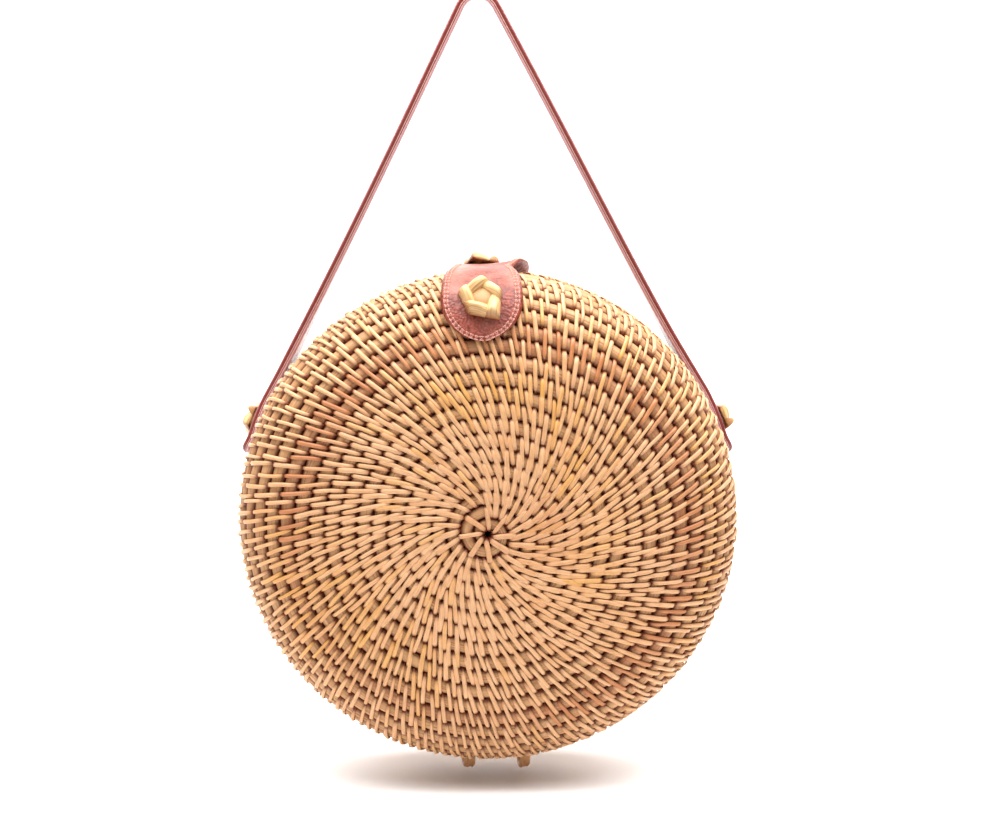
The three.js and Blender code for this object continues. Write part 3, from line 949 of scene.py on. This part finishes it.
def mixed(tree, share, first, second, how="MIX"):
    """The colour between two colours, or one laid over the other."""
    node = add(tree, "ShaderNodeMix", data_type="RGBA", blend_type=how)
    for key, value in ((0, share), (6, first), (7, second)):
        if isinstance(value, bpy.types.NodeSocket):
            tree.links.new(value, node.inputs[key])
        else:
            node.inputs[key].default_value = value
    return node.outputs[2]


def ramp(tree, value, stops):
    """Turns a value into a share through stops of (place, height)."""
    node = add(tree, "ShaderNodeValToRGB", {"Fac": value})
    elements = node.color_ramp.elements
    while len(elements) < len(stops):
        elements.new(0.5)
    for element, (place, height) in zip(elements, stops):
        element.position = place
        element.color = (height, height, height, 1)
    return node.outputs["Color"]


def fibre_noise(tree, across_mm, along_mm, detail, place):
    """Streaks that run with the fibres: their width and length in millimetres, and the place
    in the noise where they are taken."""
    uv = add(tree, "ShaderNodeUVMap", uv_map="fibre")
    stretch = (1 / (across_mm * MM), 1 / (along_mm * MM), 1)
    laid = {"Vector": uv.outputs["UV"], "Scale": stretch, "Location": (place, place, 0)}
    scale = add(tree, "ShaderNodeMapping", laid)
    grain = {"Vector": scale.outputs["Vector"], "Scale": 1.0, "Detail": detail, "Roughness": 0.6}
    noise = add(tree, "ShaderNodeTexNoise", grain)
    return noise.outputs["Fac"]


def hand_values(tree):
    """The tone, gold, red and depth that each strand carries."""
    node = add(tree, "ShaderNodeAttribute", attribute_name="hand", attribute_type="GEOMETRY")
    parts = add(tree, "ShaderNodeSeparateColor", {"Color": node.outputs["Color"]})
    return parts.outputs["Red"], parts.outputs["Green"], parts.outputs["Blue"], node.outputs["Alpha"]


def split_cane_skin(colours):
    """Split rattan peel, satin from its own skin: pale strips with faint lengthwise streaks, some golden,
    some reddish, with painted shade where they dive between the rounds and along their side edges."""
    material, tree, shader = new_material("split_cane_skin")
    tone, gold, red, depth = hand_values(tree)
    streak = fibre_noise(tree, 0.35, 9, 4, 0.3)
    patch = fibre_noise(tree, 3.5, 6, 2, 7.1)
    warm = ramp(tree, tone, [(0.0, 0.0), (0.6, 0.1), (1.0, 0.55)])
    pale = mixed(tree, warm, colours.cane_pale, WARM_CANE)
    golden = mixed(tree, gold, pale, colours.cane_gold)
    redder = mixed(tree, red, golden, colours.cane_red)
    streaky = mixed(tree, ramp(tree, streak, [(0.35, 0.55), (0.6, 0.0)]), redder, CANE_STREAK)
    blotched = mixed(tree, ramp(tree, patch, [(0.35, 0.3), (0.62, 0.0)]), streaky, CANE_BLOTCH)
    # Painted shade: the depth value darkens the strips where they dive and along their side edges
    deep = mixed(tree, ramp(tree, depth, [(0.06, 0.0), (0.55, 0.9), (1.0, 1.0)]), blotched, CANE_SHADE)
    tree.links.new(deep, shader.inputs["Base Color"])
    rough = add(tree, "ShaderNodeMapRange", {"Value": streak, "To Min": 0.34, "To Max": 0.56})
    tree.links.new(rough.outputs["Result"], shader.inputs["Roughness"])
    bump = add(tree, "ShaderNodeBump", {"Height": streak, "Strength": 0.35, "Distance": 0.12 * MM})
    tree.links.new(bump.outputs["Normal"], shader.inputs["Normal"])
    shader.inputs["IOR"].default_value = 1.5
    return material


def cane_core(colours):
    """The bundle of scraped canes inside the coil: tan, dull, with dark lines between the
    canes along the coil, and red-brown shade in the valleys."""
    material, tree, shader = new_material("scraped_cane_core")
    red, depth = hand_values(tree)[2:]
    canes = fibre_noise(tree, 0.55, 26, 3, 1.7)
    patch = fibre_noise(tree, 5, 22, 2, 4.2)
    base = mixed(tree, red, colours.core_tan, colours.core_red)
    light = mixed(tree, ramp(tree, patch, [(0.4, 0.0), (0.7, 0.5)]), base, CORE_LIGHT)
    lined = mixed(tree, ramp(tree, canes, [(0.34, 0.75), (0.52, 0.0)]), light, CORE_LINE)
    # Painted shade in the valleys, from the depth value
    deep = mixed(tree, ramp(tree, depth, [(0.14, 0.0), (0.5, 0.85), (0.75, 1.0)]), lined, colours.gap_shade_brown)
    tree.links.new(deep, shader.inputs["Base Color"])
    shader.inputs["Roughness"].default_value = 0.62
    bump = add(tree, "ShaderNodeBump", {"Height": canes, "Strength": 0.7, "Distance": 0.3 * MM})
    tree.links.new(bump.outputs["Normal"], shader.inputs["Normal"])
    return material


def folded_cane(colours):
    """Flat rattan peel folded dry into knots: straw coloured, fine ribs along each strip,
    shiny on the folds."""
    material, tree, shader = new_material("folded_cane_peel")
    tone, _, _, depth = hand_values(tree)
    ribs = fibre_noise(tree, 0.4, 14, 3, 2.2)
    base = mixed(tree, ramp(tree, tone, [(0.0, 0.0), (1.0, 0.5)]), colours.knot_straw, KNOT_TAN)
    lined = mixed(tree, ramp(tree, ribs, [(0.36, 0.7), (0.56, 0.0)]), base, KNOT_RIB)
    # Painted shade from the depth value, where the strips fold and tuck
    deep = mixed(tree, ramp(tree, depth, [(0.1, 0.0), (1.0, 0.95)]), lined, KNOT_SHADE)
    tree.links.new(deep, shader.inputs["Base Color"])
    shader.inputs["Roughness"].default_value = 0.4
    bump = add(tree, "ShaderNodeBump", {"Height": ribs, "Strength": 0.55, "Distance": 0.2 * MM})
    tree.links.new(bump.outputs["Normal"], shader.inputs["Normal"])
    return material


def grained_leather(name, brown, dark, light, grain_mm, gloss):
    """Dyed cow leather with a pressed grain: small raised pebbles with dark creases, a soft
    sheen, and paler rubbed places."""
    material, tree, shader = new_material(name)
    place = add(tree, "ShaderNodeTexCoord")
    size = 1 / (grain_mm * MM)
    grain = add(
        tree,
        "ShaderNodeTexVoronoi",
        {"Vector": place.outputs["Object"], "Scale": size, "Randomness": 1.0},
        feature="SMOOTH_F1",
    )
    spot_on = place.outputs["Object"]
    creases = add(tree, "ShaderNodeTexNoise", {"Vector": spot_on, "Scale": size / 5, "Detail": 6.0})
    rubbed = add(tree, "ShaderNodeTexNoise", {"Vector": spot_on, "Scale": size / 14, "Detail": 2.0})
    pits = ramp(tree, grain.outputs["Distance"], [(0.3, 0.0), (0.7, 0.9)])
    base = mixed(tree, pits, brown, dark)
    veined = mixed(tree, ramp(tree, creases.outputs["Fac"], [(0.42, 0.5), (0.5, 0.0)]), base, dark)
    worn = mixed(tree, ramp(tree, rubbed.outputs["Fac"], [(0.5, 0.0), (0.75, 0.6)]), veined, light)
    tree.links.new(worn, shader.inputs["Base Color"])
    shader.inputs["Roughness"].default_value = gloss
    shader.inputs["Specular IOR Level"].default_value = 0.5
    height = add(
        tree,
        "ShaderNodeMath",
        {0: grain.outputs["Distance"], 1: creases.outputs["Fac"]},
        operation="SUBTRACT",
    )
    relief = {"Height": height.outputs["Value"], "Strength": 0.8, "Distance": 0.4 * MM}
    bump = add(tree, "ShaderNodeBump", relief, invert=True)
    tree.links.new(bump.outputs["Normal"], shader.inputs["Normal"])
    return material, worn


def strap_leather(colours):
    """Smooth, glossy leather in two layers: along its edges the outer layer shows a mauve rim, partly a
    painted reflection on its rounded corner, and dark red, then a painted highlight line, a dark seam and the
    paler inner layer, partly a painted reflection."""
    material, face = grained_leather(
        "strap_leather_painted_edge", colours.strap_brown, colours.strap_edge, STRAP_RUBBED, 0.7, 0.3
    )
    tree = material.node_tree
    layer, edge = hand_values(tree)[:2]
    # Mauve rim on the outer layer's rounded corner, partly a painted reflection
    rim = mixed(tree, ramp(tree, layer, [(0.1, 1.0), (0.22, 0.0)]), colours.strap_edge, STRAP_RIM_REFLECTION)
    # Painted highlight: a pale line beside the seam
    outer = mixed(tree, ramp(tree, layer, [(0.5, 0.0), (0.57, 1.0)]), rim, STRAP_HIGHLIGHT)
    groove = ramp(tree, layer, [(0.57, 0.0), (0.61, 1.0), (0.7, 1.0), (0.74, 0.0)])
    seam = mixed(tree, groove, outer, STRAP_SEAM)
    # The paler inner layer, partly a painted reflection
    inner = mixed(tree, ramp(tree, layer, [(0.72, 0.0), (0.8, 1.0)]), seam, STRAP_INNER_REFLECTION)
    painted = mixed(tree, edge, face, inner)
    tree.links.new(painted, tree.nodes["Principled BSDF"].inputs["Base Color"])
    return material


def waxed_thread(colours):
    """Twisted waxed thread, pale pink, dull."""
    material, tree, shader = new_material("waxed_thread")
    place = add(tree, "ShaderNodeTexCoord")
    twist = {"Vector": place.outputs["Object"], "Scale": 1 / (0.5 * MM), "Detail": 2.0}
    noise = add(tree, "ShaderNodeTexNoise", twist)
    darker = ramp(tree, noise.outputs["Fac"], [(0.4, 0.5), (0.6, 0.0)])
    shade = mixed(tree, darker, colours.thread_pink, THREAD_SHADE)
    tree.links.new(shade, shader.inputs["Base Color"])
    shader.inputs["Roughness"].default_value = 0.6
    return material


def studio_paper(colours):
    """Matt white background paper with a hardly visible tooth."""
    material, tree, shader = new_material("studio_paper")
    place = add(tree, "ShaderNodeTexCoord")
    fine = {"Vector": place.outputs["Object"], "Scale": 400.0, "Detail": 2.0}
    tooth = add(tree, "ShaderNodeTexNoise", fine)
    darker = ramp(tree, tooth.outputs["Fac"], [(0.3, 0.02), (0.7, 0.0)])
    shade = mixed(tree, darker, colours.paper, PAPER_SHADE)
    tree.links.new(shade, shader.inputs["Base Color"])
    shader.inputs["Roughness"].default_value = 0.9
    return material


def dress(piece, material, slot, body, *nodes):
    """Gives a finished piece its material and its body, and hides the frame parts it stands for. The slot is
    not used.
    """
    piece.data.materials.clear()
    piece.data.materials.append(material)
    if nodes:
        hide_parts(*nodes)
    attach(piece, body)
    return piece


# Operators


def shell_pieces(context, side, label, body, seed):
    """The coil and both faces of stitches of one shell."""
    sizes = context.scene.basket_sizes
    colours = context.scene.bag_colours
    chance = np.random.default_rng(seed)
    coil = Coil(sizes, Pillow(sizes.pillow_power))
    core = coil_piece(label + "_coil", sizes, coil, side)
    places, shifts = stitch_places(sizes, coil, chance)
    outside = stitch_piece(label + "_stitches", sizes, coil, side, places, shifts, chance)
    name = label + "_inner_stitches"
    inside = stitch_piece(name, sizes, coil, side, places, -shifts, chance, inside=True)
    skin = bpy.data.materials.get("split_cane_skin") or split_cane_skin(colours)
    bundle = bpy.data.materials.get("scraped_cane_core") or cane_core(colours)
    dress(core, bundle, "coiled_rattan", body, label + "_shell")
    dress(outside, skin, "coiled_rattan", body)
    dress(inside, skin, "coiled_rattan", body)


# The paper sweep, in metres: its floor's size and middle, its wall's height, its bend
FLOOR_SIZE = (8, 4.6)
FLOOR_MIDDLE = -0.9
SWEEP_HEIGHT = 3.5
SWEEP_BEND = 1.0
# Name, place from just above the bag's middle, size, watts, and what the light is aimed at
LIGHTS = [
    ("key_light", (0.05, -0.42, 0.85), 0.5, 4.7, bag_middle),
    ("front_light", (-0.4, -1.35, 0.3), 0.9, 2.0, bag_middle),
    ("backdrop_light", (0, 0.3, 0.95), 1.6, 60, Vector((0, 1.6, -0.2))),
]


class BASKET_OT_stage(bpy.types.Operator):
    """Adds the camera, the floor and the studio light"""

    bl_idname = "basket.stage"
    bl_label = "Stage"

    def execute(self, context):
        view = context.scene.photo_view
        camera_data = bpy.data.cameras.new("photo_camera")
        camera = bpy.data.objects.new("photo_camera", camera_data)
        context.scene.collection.objects.link(camera)
        context.scene.camera = camera
        focal_pixels = view.scale * view.distance
        camera_data.sensor_width = 36
        camera_data.lens = focal_pixels / view.image_width * camera_data.sensor_width
        camera_data.clip_start = 0.02
        camera_data.clip_end = 20
        back = Vector((0, -math.cos(view.rise), math.sin(view.rise)))
        camera.location = bag_middle + back * view.distance
        aside = math.atan((view.image_width / 2 - view.middle_x) / focal_pixels)
        above = math.atan((view.middle_y - view.image_height / 2) / focal_pixels)
        camera.rotation_euler = (math.pi / 2 - view.rise + above, 0, -aside)
        floor_level = feet_level - 1.5 * MM
        bpy.ops.mesh.primitive_plane_add(size=1, location=(0, 0, floor_level))
        floor = context.view_layer.objects.active
        floor.name = "studio_floor"
        floor.scale = (*FLOOR_SIZE, 1)
        floor.location = (0, FLOOR_MIDDLE, floor_level)
        settled(floor)
        bpy.ops.object.mode_set(mode="EDIT")
        bpy.ops.mesh.select_mode(type="EDGE")
        bpy.ops.mesh.select_all(action="DESELECT")
        bpy.ops.object.mode_set(mode="OBJECT")
        back_y = max(v.co.y for v in floor.data.vertices)
        for edge in floor.data.edges:
            ends = [floor.data.vertices[i].co.y for i in edge.vertices]
            edge.select = all(abs(y - back_y) < 1e-6 for y in ends)
        bpy.ops.object.mode_set(mode="EDIT")
        bpy.ops.mesh.extrude_region_move(TRANSFORM_OT_translate={"value": (0, 0, SWEEP_HEIGHT)})
        bpy.ops.object.mode_set(mode="OBJECT")
        sweep = floor.modifiers.new("sweep", "BEVEL")
        sweep.limit_method = "ANGLE"
        sweep.width = SWEEP_BEND
        sweep.segments = 24
        bpy.ops.object.modifier_apply(modifier=sweep.name)
        for polygon in floor.data.polygons:
            polygon.use_smooth = True
        floor.data.materials.append(studio_paper(context.scene.bag_colours))
        for name, place, size, power, target in LIGHTS:
            data = bpy.data.lights.new(name, "AREA")
            data.shape = "SQUARE"
            data.size = size
            data.energy = power
            light = bpy.data.objects.new(name, data)
            light.location = Vector(place) + Vector((bag_middle.x, 0, bag_middle.z + 0.1))
            aim = target - light.location
            light.rotation_euler = aim.to_track_quat("-Z", "Y").to_euler()
            context.scene.collection.objects.link(light)
        world = context.scene.world or bpy.data.worlds.new("studio_air")
        context.scene.world = world
        world.use_nodes = True
        air = world.node_tree.nodes["Background"]
        air.inputs["Color"].default_value = (1, 0.99, 0.98, 1)
        air.inputs["Strength"].default_value = 0.24
        context.scene.view_settings.view_transform = "Standard"
        return {"FINISHED"}


class BASKET_OT_front_shell(bpy.types.Operator):
    """Coils and stitches the front half"""

    bl_idname = "basket.front_shell"
    bl_label = "Front shell"

    def execute(self, context):
        shell_pieces(context, FRONT, "front", "front_half", 11)
        return {"FINISHED"}


class BASKET_OT_back_shell(bpy.types.Operator):
    """Coils and stitches the back half"""

    bl_idname = "basket.back_shell"
    bl_label = "Back shell"

    def execute(self, context):
        shell_pieces(context, BACK, "back", "back_half", 29)
        return {"FINISHED"}


class BASKET_OT_hinge_loops(bpy.types.Operator):
    """Winds the two cane loops that hinge the halves at the bottom"""

    bl_idname = "basket.hinge_loops"
    bl_label = "Hinge loops"

    def execute(self, context):
        sizes = context.scene.knot_sizes
        chance = np.random.default_rng(5)
        skin = bpy.data.materials["split_cane_skin"]
        for node, box in zip(("left_hinge_loop", "right_hinge_loop"), loop_boxes):
            loop = loop_piece(node + "_cane", box, sizes.loop_strands, chance)
            dress(loop, skin, "coiled_rattan", "back_half", node)
        return {"FINISHED"}


class BASKET_OT_closure_tab(bpy.types.Operator):
    """Cuts and sews the leather tab over the seam"""

    bl_idname = "basket.closure_tab"
    bl_label = "Closure tab"

    def execute(self, context):
        leather = context.scene.leather_sizes
        colours = context.scene.bag_colours
        pillow = Pillow(context.scene.basket_sizes.pillow_power)
        chance = np.random.default_rng(3)
        tab = tab_piece(leather, pillow)
        pebbled = grained_leather(
            "tab_leather_pebbled", colours.tab_brown, colours.tab_dark, TAB_RUBBED, 0.9, 0.5
        )[0]
        dress(tab, pebbled, "tab_leather", "back_half", "closure_tab")
        thread = thread_piece(leather, pillow, chance)
        dress(thread, waxed_thread(colours), "tab_leather", "back_half")
        return {"FINISHED"}


class BASKET_OT_shoulder_strap(bpy.types.Operator):
    """Makes the two-layer leather strap"""

    bl_idname = "basket.shoulder_strap"
    bl_label = "Shoulder strap"

    def execute(self, context):
        pillow = Pillow(context.scene.basket_sizes.pillow_power)
        strap = strap_piece(context.scene.leather_sizes, pillow)
        dress(strap, strap_leather(context.scene.bag_colours), "strap_leather", "back_half", "shoulder_strap")
        return {"FINISHED"}


class BASKET_OT_knots(bpy.types.Operator):
    """Folds the four rattan knots"""

    bl_idname = "basket.knots"
    bl_label = "Knots"

    def execute(self, context):
        sizes = context.scene.knot_sizes
        leather = context.scene.leather_sizes
        pillow = Pillow(context.scene.basket_sizes.pillow_power)
        peel = folded_cane(context.scene.bag_colours)
        chance = np.random.default_rng(8)
        lift = 2 * leather.seat_gap + leather.tab_thickness
        # Node, half, way along the shell, body, turn of the knot, height
        buttons = [
            ("front_knot", FRONT, leather.tab_front, "front_half", 0, sizes.button_height),
            ("rear_knot", BACK, leather.tab_rear, "back_half", 2.2, 0.72 * sizes.button_height),
        ]
        for node, side, reach, body, spin, height in buttons:
            place, direction = pillow.seat(side, reach, lift)
            place.x -= leather.tab_shift
            matrix = knot_frame(place, direction, Vector((-side, 0, 0)))
            knot = knot_piece(node + "_cane", matrix, sizes.button_radius, height, spin, chance)
            dress(knot, peel, "rattan_knot", body, node)
        lean, wall = strap_line(leather, pillow)[2:]
        rise = leather.strap_knot_rise
        for node, side in (("left_strap_knot", -1), ("right_strap_knot", 1)):
            away = Vector((side * math.cos(rise), 0, math.sin(rise)))
            direction = away * math.cos(lean) + Vector((0, math.sin(lean), 0))
            place = bag_middle + away * wall + Vector((0, leather.strap_back, 0))
            place += direction * (leather.strap_thickness + 2 * leather.seat_gap)
            matrix = knot_frame(place, direction, Vector((0, side, 0)))
            knot = knot_piece(
                node + "_cane", matrix, sizes.strap_knot_radius, sizes.strap_knot_height, 0.8 * side, chance
            )
            dress(knot, peel, "rattan_knot", "back_half", node)
        return {"FINISHED"}


class BASKET_PT_panel(bpy.types.Panel):
    """Lists the pieces of the basket bag in the sidebar"""

    bl_idname = "BASKET_PT_panel"
    bl_label = "Basket Bag"
    bl_space_type = "VIEW_3D"
    bl_region_type = "UI"
    bl_category = "Basket Bag"

    def draw(self, context):
        for operator in operators:
            self.layout.operator(operator.bl_idname)
        for name in property_groups:
            box = self.layout.box()
            group = getattr(context.scene, name)
            for key in group.__annotations__:
                box.prop(group, key)


property_groups = {
    "basket_sizes": BasketSizes,
    "leather_sizes": LeatherSizes,
    "knot_sizes": KnotSizes,
    "bag_colours": BagColours,
    "photo_view": PhotoView,
}
operators = (
    BASKET_OT_stage,
    BASKET_OT_front_shell,
    BASKET_OT_back_shell,
    BASKET_OT_hinge_loops,
    BASKET_OT_closure_tab,
    BASKET_OT_shoulder_strap,
    BASKET_OT_knots,
)


def register():
    """Registers the sizes, the operators and the panel."""
    for name, group in property_groups.items():
        bpy.utils.register_class(group)
        setattr(bpy.types.Scene, name, bpy.props.PointerProperty(type=group))
    for operator in operators:
        bpy.utils.register_class(operator)
    bpy.utils.register_class(BASKET_PT_panel)


def unregister():
    """Takes back what register added."""
    bpy.utils.unregister_class(BASKET_PT_panel)
    for operator in reversed(operators):
        bpy.utils.unregister_class(operator)
    for name, group in reversed(list(property_groups.items())):
        delattr(bpy.types.Scene, name)
        bpy.utils.unregister_class(group)


def main():
    """Builds the stage and every piece."""
    register()
    bpy.ops.basket.stage()
    bpy.ops.basket.front_shell()
    bpy.ops.basket.back_shell()
    bpy.ops.basket.hinge_loops()
    bpy.ops.basket.closure_tab()
    bpy.ops.basket.shoulder_strap()
    bpy.ops.basket.knots()


if __name__ == "__main__":
    main()
